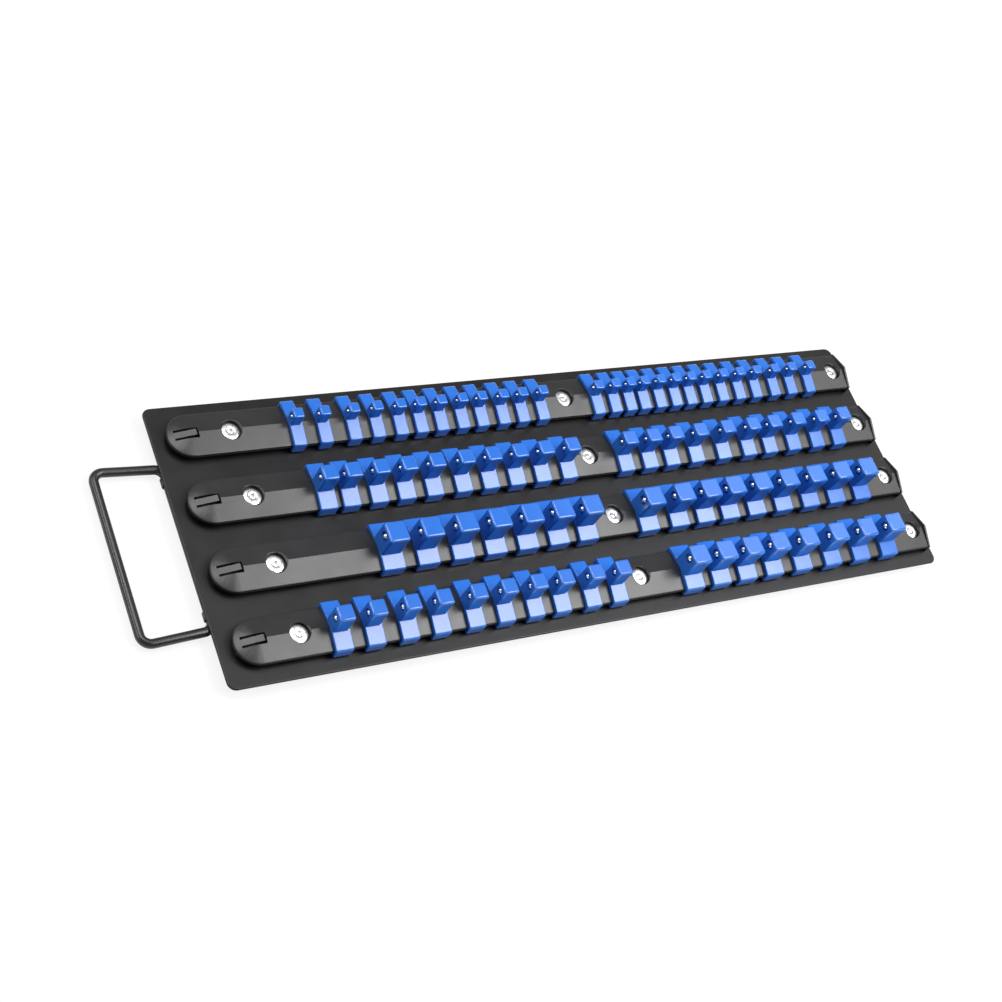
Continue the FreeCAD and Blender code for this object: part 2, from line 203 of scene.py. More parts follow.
def shade(bm, flat_mm2, sharp):
    """Leave the flats above an area flat, shade the rest smooth, and keep edges crisp above an angle."""
    for face in bm.faces:
        wide = face.calc_area() > flat_mm2 * MM * MM
        face.smooth = flat_mm2 == ALL_SMOOTH or not (wide or any(level(e) for e in face.edges))
    for edge in bm.edges:
        edge.smooth = len(edge.link_faces) == 2 and edge.calc_face_angle(0) < math.radians(sharp)


def keep(bm, name, material, body, nodes=(), flat_mm2=25, sharp=50):
    """Make an object of bm that rides on a body and stands for the frame's nodes."""
    shade(bm, flat_mm2, sharp)
    mesh = bpy.data.meshes.new(name)
    bm.to_mesh(mesh)
    bm.free()
    if "custom_normal" in mesh.attributes:    # a copy brings the frame's normals, which overrule shading
        mesh.attributes.remove(mesh.attributes["custom_normal"])
    mesh.materials.append(material)
    piece = bpy.data.objects.new(name, mesh)
    bpy.context.scene.collection.objects.link(piece)
    if body:
        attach(piece, body)
    if nodes:
        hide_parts(*nodes)
    print("made", name, "with", len(mesh.polygons), "faces")
    return piece


print("flats bend less than", round(math.degrees(LEVEL_BEND), 2), "degrees")

# %% [markdown]
# ## Moving and rounding
#
# Drawing in bmesh comes down to a few moves that return again and again: shift some vertices, measure an
# edge, find the sharp edges and round them over. Each gets a short helper, and all bevels share one, so
# that they have the same round profile.

# %% Helpers for moving and rounding
SHARP, FAIRLY_SHARP = 60, 50    # degrees: an edge that folds more than this is rounded


def move(bm, verts, offset):
    bmesh.ops.translate(bm, verts=verts, vec=Vector(offset))


def span(edge, axis):
    """How far an edge reaches along one axis: 0 is x, 1 is y and 2 is z."""
    return abs(edge.verts[0].co[axis] - edge.verts[1].co[axis])


def sharp_edges(bm, degrees):
    return [e for e in bm.edges if len(e.link_faces) == 2 and e.calc_face_angle(0) > math.radians(degrees)]


def soften(bm, edges, width_mm, segments=2):
    """Round edges over, with the editor's own bevel settings."""
    bmesh.ops.bevel(bm, geom=edges, offset=width_mm * MM, offset_type="OFFSET", segments=segments,
                    profile=0.5, affect="EDGES", material=-1, clamp_overlap=True)


print("move, span, sharp_edges and soften ready")

# %% [markdown]
# ## The plate
#
# The plate is a piece of sheet steel with rounded corners, coated after it is cut, so the coat rounds
# every edge a little. A cube scaled to the sheet's size is enough: the upright corner edges get a wide
# bevel, and then the two outlines get a narrow one that leaves a hair of the cut edge between them.

# %% Steel plate
PLATE_CORNER_MM, CORNER_SEGMENTS = 5.0, 8
COATED_EDGE_MM, COATED_EDGE_SEGMENTS = 0.7, 4
plate_low, plate_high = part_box("tray_plate")
bm = bmesh.new()
bmesh.ops.create_cube(bm, size=1)
bmesh.ops.scale(bm, vec=plate_high - plate_low, verts=bm.verts)
move(bm, bm.verts, (plate_low + plate_high) / 2)
soften(bm, [e for e in bm.edges if span(e, 2) > TOUCHING], PLATE_CORNER_MM, CORNER_SEGMENTS)
soften(bm, sharp_edges(bm, SHARP), COATED_EDGE_MM, COATED_EDGE_SEGMENTS)
keep(bm, "coated_steel_plate", PAINT, "tray", ["tray_plate"])

# %% [markdown]
# ## The handle
#
# The handle is one wire bent into a ring: a circle is swept along straight runs and round four bends.
# A curve with a bevel would do it too, but a circle that is extruded along the runs and spun round the
# bends shows how the wire is really formed, and the ring closes on itself with no seam. The wire's
# middle line comes first: two corners under the plate and two outside it, a little further apart.

# %% The wire's middle line
handle_low, handle_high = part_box("carry_handle")
WIRE_RADIUS = (handle_high.z - handle_low.z) / 2
INNER_WIDTH, OUTER_WIDTH = 97.4 * MM, 102.0 * MM
wire_z = (handle_low.z + handle_high.z) / 2
inner_x, outer_x = handle_high.x - WIRE_RADIUS, handle_low.x + WIRE_RADIUS
corners = [Vector((inner_x, -INNER_WIDTH / 2, wire_z)), Vector((inner_x, INNER_WIDTH / 2, wire_z)),
           Vector((outer_x, OUTER_WIDTH / 2, wire_z)), Vector((outer_x, -OUTER_WIDTH / 2, wire_z))]
seam = (corners[0] + corners[1]) / 2
print("the wire is", round(2 * WIRE_RADIUS / MM, 2), "mm thick")

# %% [markdown]
# The sweep starts half-way along the inner bar. At each corner the circle is first pushed up to where the
# bend begins and then spun round the bend's centre. After the fourth bend one more push closes the ring.

# %% Wire handle
BEND_RADIUS = 5.6 * MM
WIRE_SIDES, BEND_STEPS = 20, 8
SEAM_WELD = 0.02 * MM


def verts_in(extruded):
    return [item for item in extruded["geom"] if isinstance(item, bmesh.types.BMVert)]


def edges_in(extruded):
    return [item for item in extruded["geom"] if isinstance(item, bmesh.types.BMEdge)]


bm = bmesh.new()
turned = Matrix.Translation(seam) @ Matrix.Rotation(math.radians(90), 4, "X")
ring = bmesh.ops.create_circle(bm, cap_ends=False, segments=WIRE_SIDES, radius=WIRE_RADIUS, matrix=turned)
loop = list({edge for vert in ring["verts"] for edge in vert.link_edges})
here = seam
for i in (1, 2, 3, 0):
    back = (corners[i - 1] - corners[i]).normalized()
    ahead = (corners[(i + 1) % 4] - corners[i]).normalized()
    half = back.angle(ahead) / 2
    bend_start = corners[i] + back * (BEND_RADIUS / math.tan(half))
    run = bmesh.ops.extrude_edge_only(bm, edges=loop)
    move(bm, verts_in(run), bend_start - here)
    centre = corners[i] + (back + ahead).normalized() * (BEND_RADIUS / math.sin(half))
    spun = bmesh.ops.spin(bm, geom=edges_in(run), cent=centre, axis=Z, angle=math.pi - 2 * half,
                          steps=BEND_STEPS)
    loop = [item for item in spun["geom_last"] if isinstance(item, bmesh.types.BMEdge)]
    here = corners[i] + ahead * (BEND_RADIUS / math.tan(half))
run = bmesh.ops.extrude_edge_only(bm, edges=loop)
move(bm, verts_in(run), seam - here)
bmesh.ops.remove_doubles(bm, verts=bm.verts, dist=SEAM_WELD)
bmesh.ops.recalc_face_normals(bm, faces=bm.faces)
keep(bm, "bent_wire_handle", WIRE_COAT, "handle", ["carry_handle"], flat_mm2=ALL_SMOOTH)

# %% [markdown]
# Two straps hold the inner bar up under the plate. Each is a strip bent round the wire with a flat ear
# that is welded to the plate. They are hidden from above, so a copy of the frame's shape with its edges
# rounded is as good as a new one.

# %% Handle straps
STRAP_EDGE_MM = 0.15
MERGED_BEND = math.radians(0.5)    # faces that meet at less than this become one


def copy_of(node):
    """The frame's node as a bmesh, its loose triangles merged and flat stretches made one face."""
    bm = bmesh.new()
    bm.from_mesh(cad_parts[node].data)
    bmesh.ops.remove_doubles(bm, verts=bm.verts, dist=TOUCHING)
    bmesh.ops.dissolve_limit(bm, angle_limit=MERGED_BEND, verts=bm.verts, edges=bm.edges)
    return bm


bm = copy_of("handle_straps")
soften(bm, sharp_edges(bm, FAIRLY_SHARP), STRAP_EDGE_MM, segments=1)
keep(bm, "bent_strip_straps", WIRE_COAT, "tray", ["handle_straps"])

# %% [markdown]
# ## The feet
#
# One node of the frame holds all four feet, just as others hold all the rivets or a bank of clips. To find
# where each solid stands, the mesh is walked from vertex to vertex until nothing more is joined, and the
# box round those vertices is noted.

# %% Find the separate solids of a node
def joined_to(first):
    """Every vertex that edges join to the first one, itself included."""
    reached, known = [first], {first}
    for vert in reached:
        for edge in vert.link_edges:
            other = edge.other_vert(vert)
            if other not in known:
                known.add(other)
                reached.append(other)
    return reached


def islands(node):
    """The box of each separate solid in a node, from the left: [(lowest corner, highest corner)]."""
    bm = bmesh.new()
    bm.from_mesh(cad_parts[node].data)
    bmesh.ops.remove_doubles(bm, verts=bm.verts, dist=TOUCHING)
    unseen, boxes = set(bm.verts), []
    while unseen:
        solid = joined_to(next(iter(unseen)))
        unseen.difference_update(solid)
        low = Vector(min(v.co[i] for v in solid) for i in range(3))
        high = Vector(max(v.co[i] for v in solid) for i in range(3))
        boxes.append((low, high))
    bm.free()
    return sorted(boxes, key=lambda box: (round(box[0].x, 5), box[0].y))


print(len(islands("rubber_feet")), "feet stand in the frame")

# %% [markdown]
# The tray stands on four rubber bumpers. A bumper is turned: its outline is spun about an upright axis,
# with the sole's rim rounded by two extra points. A cone with a bevel would come close, but an outline
# takes any shape.

# %% Rubber feet
FOOT_HEIGHT = 7.0
FOOT_OUTLINE = [(0, 0), (5.3, 0), (5.8, 0.15), (6.05, 0.6), (7.0, FOOT_HEIGHT),
                (0, FOOT_HEIGHT)]    # millimetres out from the axis, and up
FOOT_STEPS = 28
AXIS_WELD = 0.01 * MM
bm = bmesh.new()
for low, high in islands("rubber_feet"):
    centre = (low + high) / 2
    verts = [bm.verts.new((centre.x + r * MM, centre.y, z * high.z / FOOT_HEIGHT)) for r, z in FOOT_OUTLINE]
    edges = [bm.edges.new(pair) for pair in zip(verts, verts[1:])]
    bmesh.ops.spin(bm, geom=verts + edges, cent=(centre.x, centre.y, 0), axis=Z, angle=math.tau,
                   steps=FOOT_STEPS, use_merge=True)
bmesh.ops.remove_doubles(bm, verts=bm.verts, dist=AXIS_WELD)
bmesh.ops.recalc_face_normals(bm, faces=bm.faces)
keep(bm, "rubber_bumper_feet", RUBBER, "tray", ["rubber_feet"], flat_mm2=ALL_SMOOTH)

# %% [markdown]
# ## The rails
#
# A rail is a long moulding: a shallow gable on a narrow foot, a round nose with a ramp and a window, a
# counterbore for each rivet, and an upstanding stop at the far end. The frame already has that form,
# so each rail is a merged copy of it, and the moulding's soft edges are what is added. A bevel is held
# back by the shortest edge that it meets, so each feature is rounded in a turn of its own: the outline
# widely, the rest by what its size allows. The ridge stays a crisp line. First the features are told
# apart: an inner corner by the way it folds, and all others by where the edge lies.

# %% Tell the features of a rail apart
ROUNDINGS = {"outline": (0.6, 3), "counterbore": (0.35, 2), "end stop": (0.5, 3), "underside": (0.3, 1),
             "window": (0.12, 1), "inner corner": (0.12, 1)}    # width in millimetres, and segments
END_STOP_DEPTH = 2 * MM
WINDOW_HALF, COUNTERBORE_HALF = 4 * MM, 7 * MM    # how far each reaches from the rail's centre line
WINDOW_BEFORE, WINDOW_AFTER = 1.5 * MM, 2 * MM    # how far the window reaches past its tongue
UNDERSIDE_TOP = 5 * MM                            # above the rail's foot


def middle(edge):
    return (edge.verts[0].co + edge.verts[1].co) / 2


def feature(edge, rail_box, tongue_box):
    """Which feature of a rail an edge belongs to."""
    (low, high), (tongue_low, tongue_high) = rail_box, tongue_box
    point = middle(edge)
    off_centre = abs(point.y - (low.y + high.y) / 2)
    if not edge.is_convex:
        return "inner corner"
    if point.x > high.x - END_STOP_DEPTH:
        return "end stop"
    if off_centre < WINDOW_HALF and tongue_low.x - WINDOW_BEFORE < point.x < tongue_high.x + WINDOW_AFTER:
        return "window"
    if off_centre < COUNTERBORE_HALF and point.x > tongue_high.x + WINDOW_AFTER:
        return "counterbore"
    return "outline" if point.z > low.z + UNDERSIDE_TOP else "underside"


print("a rail has", len(ROUNDINGS), "kinds of sharp edge")

# %% [markdown]
# The features are rounded in the order of the table. Where two roundings meet they can leave edges of
# almost no length, and the last step melts those away.

# %% Moulded rails
MELTED = 0.002 * MM


def moulded_rail(name):
    bm = copy_of(name + "_rail")
    rail_box, tongue_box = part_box(name + "_rail"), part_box(name + "_stop_tongue")
    for wanted, (width, steps) in ROUNDINGS.items():
        chosen = [edge for edge in sharp_edges(bm, SHARP) if feature(edge, rail_box, tongue_box) == wanted]
        soften(bm, chosen, width, steps)
    bmesh.ops.dissolve_degenerate(bm, dist=MELTED, edges=bm.edges)
    keep(bm, name + "_moulded_rail", RAIL_PLASTIC, "tray", [name + "_rail"], sharp=24)


for rail_name in RAILS:
    moulded_rail(rail_name)

# %% [markdown]
# Behind each nose a springy tongue stands up out of the window and stops the clips. It is moulded in one
# with the rail and rises from its root: the mesh is cut into short lengths, and each is lifted a little
# more than the one before, towards the tip.

# %% Stop tongues
TONGUE_THICKNESS = 1.5 * MM
TONGUE_CUTS = 8
TIP_EDGE_MM = 0.35
DRAFT = 0.25 * MM    # a moulded tongue is a little slimmer than its slot allows


def bent_tongue(name):
    low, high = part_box(name + "_stop_tongue")
    reach = high.x - low.x
    climb = (high.z - low.z - TONGUE_THICKNESS) / reach
    bm = bmesh.new()
    bmesh.ops.create_cube(bm, size=1)
    bmesh.ops.scale(bm, vec=(reach, high.y - low.y - 2 * DRAFT, TONGUE_THICKNESS), verts=bm.verts)
    move(bm, bm.verts, ((low.x + high.x) / 2, (low.y + high.y) / 2, low.z + TONGUE_THICKNESS / 2))
    soften(bm, [e for e in bm.edges if middle(e).x > high.x - TOUCHING], TIP_EDGE_MM)
    lengthwise = [e for e in bm.edges if span(e, 0) > reach / 2]
    bmesh.ops.subdivide_edges(bm, edges=lengthwise, cuts=TONGUE_CUTS, use_grid_fill=True)
    for vert in bm.verts:
        vert.co.z += (vert.co.x - low.x) * climb
    piece = keep(bm, name + "_bent_tongue", RAIL_PLASTIC, None, [name + "_stop_tongue"])
    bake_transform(piece)


for rail_name in RAILS:
    bent_tongue(rail_name)

# %% [markdown]
# ## The rivets
#
# Each rail is held by three tubular rivets. The tube's end is split and rolled outwards into petals, so
# seen from above it is a bright star in a round hole. One petal is the rolled wall's outline spun over
# part of a turn and closed at its ends, and every petal is drawn so and then turned to its place. The
# rest of a rivet is made of short round bars.

# %% Petals and bars of a rivet
PETALS = 6
PETAL_DEGREES, PETAL_STEPS = 57, 5    # less than a sixth of a turn, so a split shows between petals
ROLLED_WALL = [(1.2, -1.0), (1.35, 0.65), (1.75, 1.0), (2.8, 1.2), (4.4, 1.1), (5.15, 0.75), (5.15, 0.25),
               (4.4, 0.5), (2.8, 0.6), (2.2, 0.4), (2.0, -1.0)]    # millimetres out from the axis, and up
BAR_SIDES, BAR_RIM_MM = 20, 0.2


def add_petal(bm, centre, turn):
    """One petal of the rolled tail, round an upright axis through the centre."""
    verts = [bm.verts.new(centre + Vector((r, 0, z)) * MM) for r, z in ROLLED_WALL]
    wall = bm.faces.new(verts)
    bmesh.ops.spin(bm, geom=[wall], cent=centre, axis=Z, angle=math.radians(PETAL_DEGREES),
                   steps=PETAL_STEPS)
    bmesh.ops.rotate(bm, verts=joined_to(verts[0]), cent=centre, matrix=Matrix.Rotation(turn, 3, "Z"))


def add_bar(bm, centre, radius, low, high):
    """A short round bar with a softened upper and lower rim."""
    made = bmesh.ops.create_cone(bm, cap_ends=True, segments=BAR_SIDES, radius1=radius, radius2=radius,
                                 depth=high - low, matrix=Matrix.Translation(centre + Z * (low + high) / 2))
    rims = {e for v in made["verts"] for e in v.link_edges if span(e, 2) < TOUCHING}
    soften(bm, list(rims), BAR_RIM_MM)


print("a rivet has", PETALS, "petals of", PETAL_DEGREES, "degrees")

# %% [markdown]
# Below its petals a rivet is plain: a shank through rail and plate, and a low round head under the plate.
# A plug closes the tube's mouth, which gives the star its bright middle. Heights are taken from the
# floor of the counterbore, because that is what the petals lie on.

# %% Star-flared rivets
COUNTERBORE_FLOOR = 5.0 * MM    # above the plate's top
HEAD_RADIUS, SHANK_RADIUS, PLUG_RADIUS = 4.25 * MM, 2.3 * MM, 1.7 * MM
HEAD_THICKNESS = 1.0 * MM
SHANK_TOP, PLUG_BOTTOM, PLUG_TOP = -0.4 * MM, -0.6 * MM, 0.85 * MM
bm = bmesh.new()
for low, high in islands("rail_rivets"):
    floor = Vector(((low.x + high.x) / 2, (low.y + high.y) / 2, plate_high.z + COUNTERBORE_FLOOR))
    head_bottom = low.z - floor.z
    for i in range(PETALS):
        add_petal(bm, floor, math.tau * i / PETALS)
    add_bar(bm, floor, SHANK_RADIUS, head_bottom + HEAD_THICKNESS, SHANK_TOP)
    add_bar(bm, floor, PLUG_RADIUS, PLUG_BOTTOM, PLUG_TOP)
    add_bar(bm, floor, HEAD_RADIUS, head_bottom, head_bottom + HEAD_THICKNESS)
bmesh.ops.recalc_face_normals(bm, faces=bm.faces)
keep(bm, "star_flared_rivets", RIVET_METAL, "tray", ["rail_rivets"], flat_mm2=ALL_SMOOTH)

# %% [markdown]
# ## The clips
#
# All the clips are mouldings of three sizes. One clip of each size is drawn with its left face at x = 0
# on the rail's centre line, with z = 0 on the plate, and copied to every place. First come the sizes.
# The band has the same section on every clip, because all four rails have the same section.

# %% Sizes that every clip shares
first_low, first_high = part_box("quarter_inch_first_clip")
PLATE_TOP = plate_high.z
BAND_HALF = (first_high.y - first_low.y) / 2
LIP = 1.3 * MM                                # thickness of the band's side walls
HOOK = 9.5 * MM                               # from the centre line to the hook's end
HOOK_TOP, BAND_BOTTOM = 3.25 * MM, 1.0 * MM
SLOPE = math.tan(math.radians(13))            # of the rail's gable and of the band over it
RAIL_EDGE, RAIL_HALF = 5.7 * MM, 13.2 * MM    # height and reach of the gable's lower edge
RAIL_RIDGE = RAIL_EDGE + RAIL_HALF * SLOPE
ROOF = 2.6 * MM                               # from the rail's ridge to the top of the band
SLIDING_GAP = 0.05 * MM
print("a band is", round(2 * BAND_HALF / MM, 1), "mm across")

# %% [markdown]
# The rest goes with the drive, as the size of a stud is called. A bigger drive has a wider and taller
# stud, a longer clip and a bigger ball, and a small class keeps those sizes together.

# %% Sizes of the three drives
class Drive:
    """One drive's sizes, given in millimetres and kept in metres, apart from the rounding edge_mm. The
    ball's middle lies ball_drop below the stud's top, the ball stands out of the stud's face by proud, and
    spring is its spring's length at rest."""

    def __init__(self, title, flats, length, top, edge_mm, ball, ball_drop, proud, spring):
        self.title = title
        self.flats, self.length, self.top, self.edge_mm = flats * MM, length * MM, top * MM, edge_mm
        self.ball, self.ball_z, self.proud = ball * MM, (top - ball_drop) * MM, proud * MM
        self.spring = spring * MM


QUARTER = Drive("quarter", flats=6.3, length=7.8, top=19.2, edge_mm=0.8, ball=2.4, ball_drop=3.8,
                proud=0.5, spring=2.7)
THREE_EIGHTHS = Drive("three_eighths", flats=9.4, length=10.5, top=23.8, edge_mm=1.0, ball=3.2,
                      ball_drop=5.1, proud=0.65, spring=3.9)
HALF_INCH = Drive("half", flats=12.6, length=13.4, top=25.2, edge_mm=1.15, ball=4.0, ball_drop=4.8,
                  proud=0.8, spring=5.2)
print("studs stand", [round(d.top / MM, 1) for d in (QUARTER, THREE_EIGHTHS, HALF_INCH)], "mm tall")

# %% [markdown]
# The band wraps over the rail and hooks under its wings. Its section is the same all along, so one
# outline is extruded, and its left half is the right half mirrored. The long shoulders get a wide
# rounding and then the other sharp edges a narrow one, as on most mouldings.

# %% The band of a clip
SHOULDER_MM, BAND_EDGE_MM = 0.8, 0.35


def add_band(bm, length):
    wall = BAND_HALF - LIP
    crown = RAIL_RIDGE + ROOF
    ceiling = RAIL_RIDGE + SLIDING_GAP
    right = [(0, crown), (BAND_HALF, crown - BAND_HALF * SLOPE), (BAND_HALF, BAND_BOTTOM),
             (HOOK, BAND_BOTTOM), (HOOK, HOOK_TOP), (wall, HOOK_TOP), (wall, ceiling - wall * SLOPE),
             (0, ceiling)]
    outline = right + [(-y, z) for y, z in reversed(right[1:-1])]
    end = bm.faces.new([bm.verts.new((0, y, z)) for y, z in outline])
    grown = bmesh.ops.extrude_face_region(bm, geom=[end])
    move(bm, verts_in(grown), (length, 0, 0))
    bmesh.ops.recalc_face_normals(bm, faces=bm.faces)
    shoulders = [e for e in bm.edges if abs(abs(middle(e).y) - BAND_HALF) < TOUCHING
                 and middle(e).z > HOOK_TOP and span(e, 0) > length / 2]
    soften(bm, shoulders, SHOULDER_MM, segments=3)
    soften(bm, sharp_edges(bm, FAIRLY_SHARP), BAND_EDGE_MM)


print("hooks reach", round((BAND_HALF - HOOK) / MM, 1), "mm inwards")

# %% [markdown]
# The stud is a cube with softened edges that stands in the band. Its left face is opened into a round
# mouth by bridging the face's border to a circle. The circle is then pushed inwards, first for a wide
# pit that keeps the ball in shadow and then, narrower, for the bore that holds ball and spring. A
# boolean cut would do too, but a bridged loop leaves clean faces to shade.

# %% The stud of a clip, with its pit and its bore
FLUSH = 0.02 * MM       # the stud's left face is a hair behind the band's, so that the two never flicker
STUD_SINK = 0.6 * MM    # how far the stud's sides go down into the band
BORE_GAP = 0.05 * MM    # beside the ball
BORE_SIDES = 16
PIT_WIDENING = 1.5      # the pit's radius is this many times the bore's
PIT_DEPTH = 0.45        # in diameters of the ball


def add_stud(bm, drive):
    foot = RAIL_RIDGE + ROOF - drive.flats / 2 * SLOPE - STUD_SINK
    made = bmesh.ops.create_cube(bm, size=1)["verts"]
    bmesh.ops.scale(bm, vec=(drive.flats - FLUSH, drive.flats, drive.top - foot), verts=made)
    move(bm, made, ((drive.flats + FLUSH) / 2, 0, (drive.top + foot) / 2))
    rims = {e for v in made for e in v.link_edges if middle(e).z > foot + TOUCHING}
    soften(bm, list(rims), drive.edge_mm, segments=3)
    left = max((f for f in bm.faces if all(abs(v.co.x - FLUSH) < TOUCHING for v in f.verts)),
               key=lambda f: f.calc_area())
    border = list(left.edges)
    bmesh.ops.delete(bm, geom=[left], context="FACES_ONLY")
    bore = drive.ball / 2 + BORE_GAP
    pit = bore * PIT_WIDENING
    turned = Matrix.Translation((FLUSH, 0, drive.ball_z)) @ Matrix.Rotation(math.radians(90), 4, "Y")
    mouth = bmesh.ops.create_circle(bm, cap_ends=False, segments=BORE_SIDES, radius=pit, matrix=turned)
    loop = list({e for v in mouth["verts"] for e in v.link_edges})
    bmesh.ops.bridge_loops(bm, edges=border + loop)
    pit_end, bore_end = PIT_DEPTH * drive.ball, drive.ball - drive.proud + drive.spring
    for inwards, radius in ((pit_end, pit), (pit_end, bore), (bore_end, bore)):
        ring = bmesh.ops.extrude_edge_only(bm, edges=loop)
        verts = verts_in(ring)
        now = (verts[0].co - Vector((verts[0].co.x, 0, drive.ball_z))).length
        bmesh.ops.scale(bm, vec=(1, radius / now, radius / now), verts=verts,
                        space=Matrix.Translation((0, 0, -drive.ball_z)))
        move(bm, verts, (inwards - (verts[0].co.x - FLUSH), 0, 0))
        loop = edges_in(ring)
    bmesh.ops.edgeloop_fill(bm, edges=loop)


print("the sides of a stud go", round(STUD_SINK / MM, 1), "mm down into the band")

# %% [markdown]
# On the real clip band and stud are one moulding. Here they overlap as two closed shells in one mesh,
# which looks the same and keeps every edge clean. Each drive needs its mesh only once, because all its
# clips are copies.

# %% One clip of each size
def clip_mesh(drive):
    bm = bmesh.new()
    add_band(bm, drive.length)
    add_stud(bm, drive)
    bmesh.ops.recalc_face_normals(bm, faces=bm.faces)
    mesh = bpy.data.meshes.new(drive.title + "_clip")
    bm.to_mesh(mesh)
    bm.free()
    print("one", drive.title, "clip has", len(mesh.polygons), "faces")
    return mesh


CLIPS = {drive: clip_mesh(drive) for drive in (QUARTER, THREE_EIGHTHS, HALF_INCH)}

# %% [markdown]
# ## Balls and springs
#
# The balls are plain bearing balls. An icosphere has no poles, and two subdivisions make it round enough
# for the small ones; the largest gets a third.

# %% One ball of each size
BALL_SUBDIVISIONS = {QUARTER: 2, THREE_EIGHTHS: 2, HALF_INCH: 3}


def ball_mesh(drive):
    bm = bmesh.new()
    bmesh.ops.create_icosphere(bm, subdivisions=BALL_SUBDIVISIONS[drive], radius=drive.ball / 2)
    move(bm, bm.verts, (drive.ball / 2 - drive.proud, 0, drive.ball_z))
    mesh = bpy.data.meshes.new(drive.title + "_ball")
    bm.to_mesh(mesh)
    bm.free()
    return mesh


BALLS = {drive: ball_mesh(drive) for drive in CLIPS}
print("balls have", [len(m.polygons) for m in BALLS.values()], "faces")

# %% [markdown]
# A spring is a small circle spun round the bore's axis with a step forward at each turn, which is how
# wire is coiled. It starts level with the back of the ball and stops a hair before the end of the bore.

# %% One spring of each size
SPRING_TURNS, STEPS_PER_TURN, SPRING_WIRE_SIDES = 4, 9, 5
WIRE_SHARE, COIL_SHARE = 0.11, 0.36    # wire's thickness and coil's radius, in diameters of the ball
ENDS_TAKE = 1.1                        # thicknesses of wire: half at each end, and the hair


def spring_mesh(drive):
    wire, coil = WIRE_SHARE * drive.ball, COIL_SHARE * drive.ball
    start = drive.ball - drive.proud + 0.5 * wire
    rise = drive.spring - ENDS_TAKE * wire
    bm = bmesh.new()
    turned = Matrix.Translation((start, coil, drive.ball_z))
    ring = bmesh.ops.create_circle(bm, cap_ends=False, segments=SPRING_WIRE_SIDES, radius=wire / 2,
                                   matrix=turned)
    loop = list({e for v in ring["verts"] for e in v.link_edges})
    steps = STEPS_PER_TURN * SPRING_TURNS
    bmesh.ops.spin(bm, geom=loop, cent=(start, 0, drive.ball_z), axis=X, angle=math.tau * SPRING_TURNS,
                   steps=steps, dvec=(rise / steps, 0, 0))
    bmesh.ops.holes_fill(bm, edges=bm.edges, sides=SPRING_WIRE_SIDES)
    bmesh.ops.recalc_face_normals(bm, faces=bm.faces)
    mesh = bpy.data.meshes.new(drive.title + "_spring")
    bm.to_mesh(mesh)
    bm.free()
    return mesh


SPRINGS = {drive: spring_mesh(drive) for drive in CLIPS}
print("springs have", [len(m.polygons) for m in SPRINGS.values()], "faces")

# %% [markdown]
# ## The banks
#
# The frame's clips say where every clip stands, so the left face and the centre line of each solid are read
# from it and the moulded clip is copied there. A bank of clips slides as one body, and so do its balls.
# Each spring is an object of its own and hangs on no body.

# %% Copies at the frame's places
def add_copy(bm, mesh, offset):
    before = len(bm.verts)
    bm.from_mesh(mesh)
    bm.verts.ensure_lookup_table()
    move(bm, bm.verts[before:], offset)


def bank(name, drive):
    """Clips, balls and springs of one group, in the frame's places."""
    clips = name + "_clips" if name + "_clips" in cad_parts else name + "_clip"
    balls, springs = clips.replace("clip", "ball"), clips.replace("clip", "spring")
    places = [Vector((low.x, (low.y + high.y) / 2, PLATE_TOP)) for low, high in islands(clips)]
    for body, meshes, material, slot in ((clips, CLIPS, BLUE_PLASTIC, "clip_blue"),
                                         (balls, BALLS, BALL_METAL, "ball_steel")):
        bm = bmesh.new()
        for place in places:
            add_copy(bm, meshes[drive], place)
        keep(bm, body + "_finished", material, body, [body], flat_mm2=8)
    for number, place in enumerate(places, 1):
        bm = bmesh.new()
        add_copy(bm, SPRINGS[drive], place)
        piece = keep(bm, f"{name}_coil_{number:02d}", SPRING_METAL, None,
                     [springs] if number == 1 else [])
        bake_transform(piece)


print("the first rail's left bank has", len(islands("quarter_inch_left_clips")), "clips")

# %% [markdown]
# Three rails carry one size of clip each. The fourth is mixed: the smaller clips stand on its left half
# and the larger on its right, and its last clip is part of the right bank. A table says which drive
# stands on which half, so one loop fills all the rails.

# %% Clips, balls and springs on every rail
DRIVES = {"quarter_inch": (QUARTER, QUARTER), "three_eighths": (THREE_EIGHTHS, THREE_EIGHTHS),
          "half_inch": (HALF_INCH, HALF_INCH), "mixed": (THREE_EIGHTHS, HALF_INCH)}
for rail_name in RAILS:
    left_drive, right_drive = DRIVES[rail_name]
    bank(rail_name + "_first", left_drive)
    bank(rail_name + "_left", left_drive)
    bank(rail_name + "_right", right_drive)
    if rail_name != "mixed":
        bank(rail_name + "_last", right_drive)

# %% [markdown]
# ## The floor
#
# The tray lies on a plain pale floor. To the camera most of it is an even glow, so that seen from above it
# is nearly as white as the world, and the rest is matt and takes a soft shadow. To everything else it is
# all matt, so it gives back only the light that falls on it.

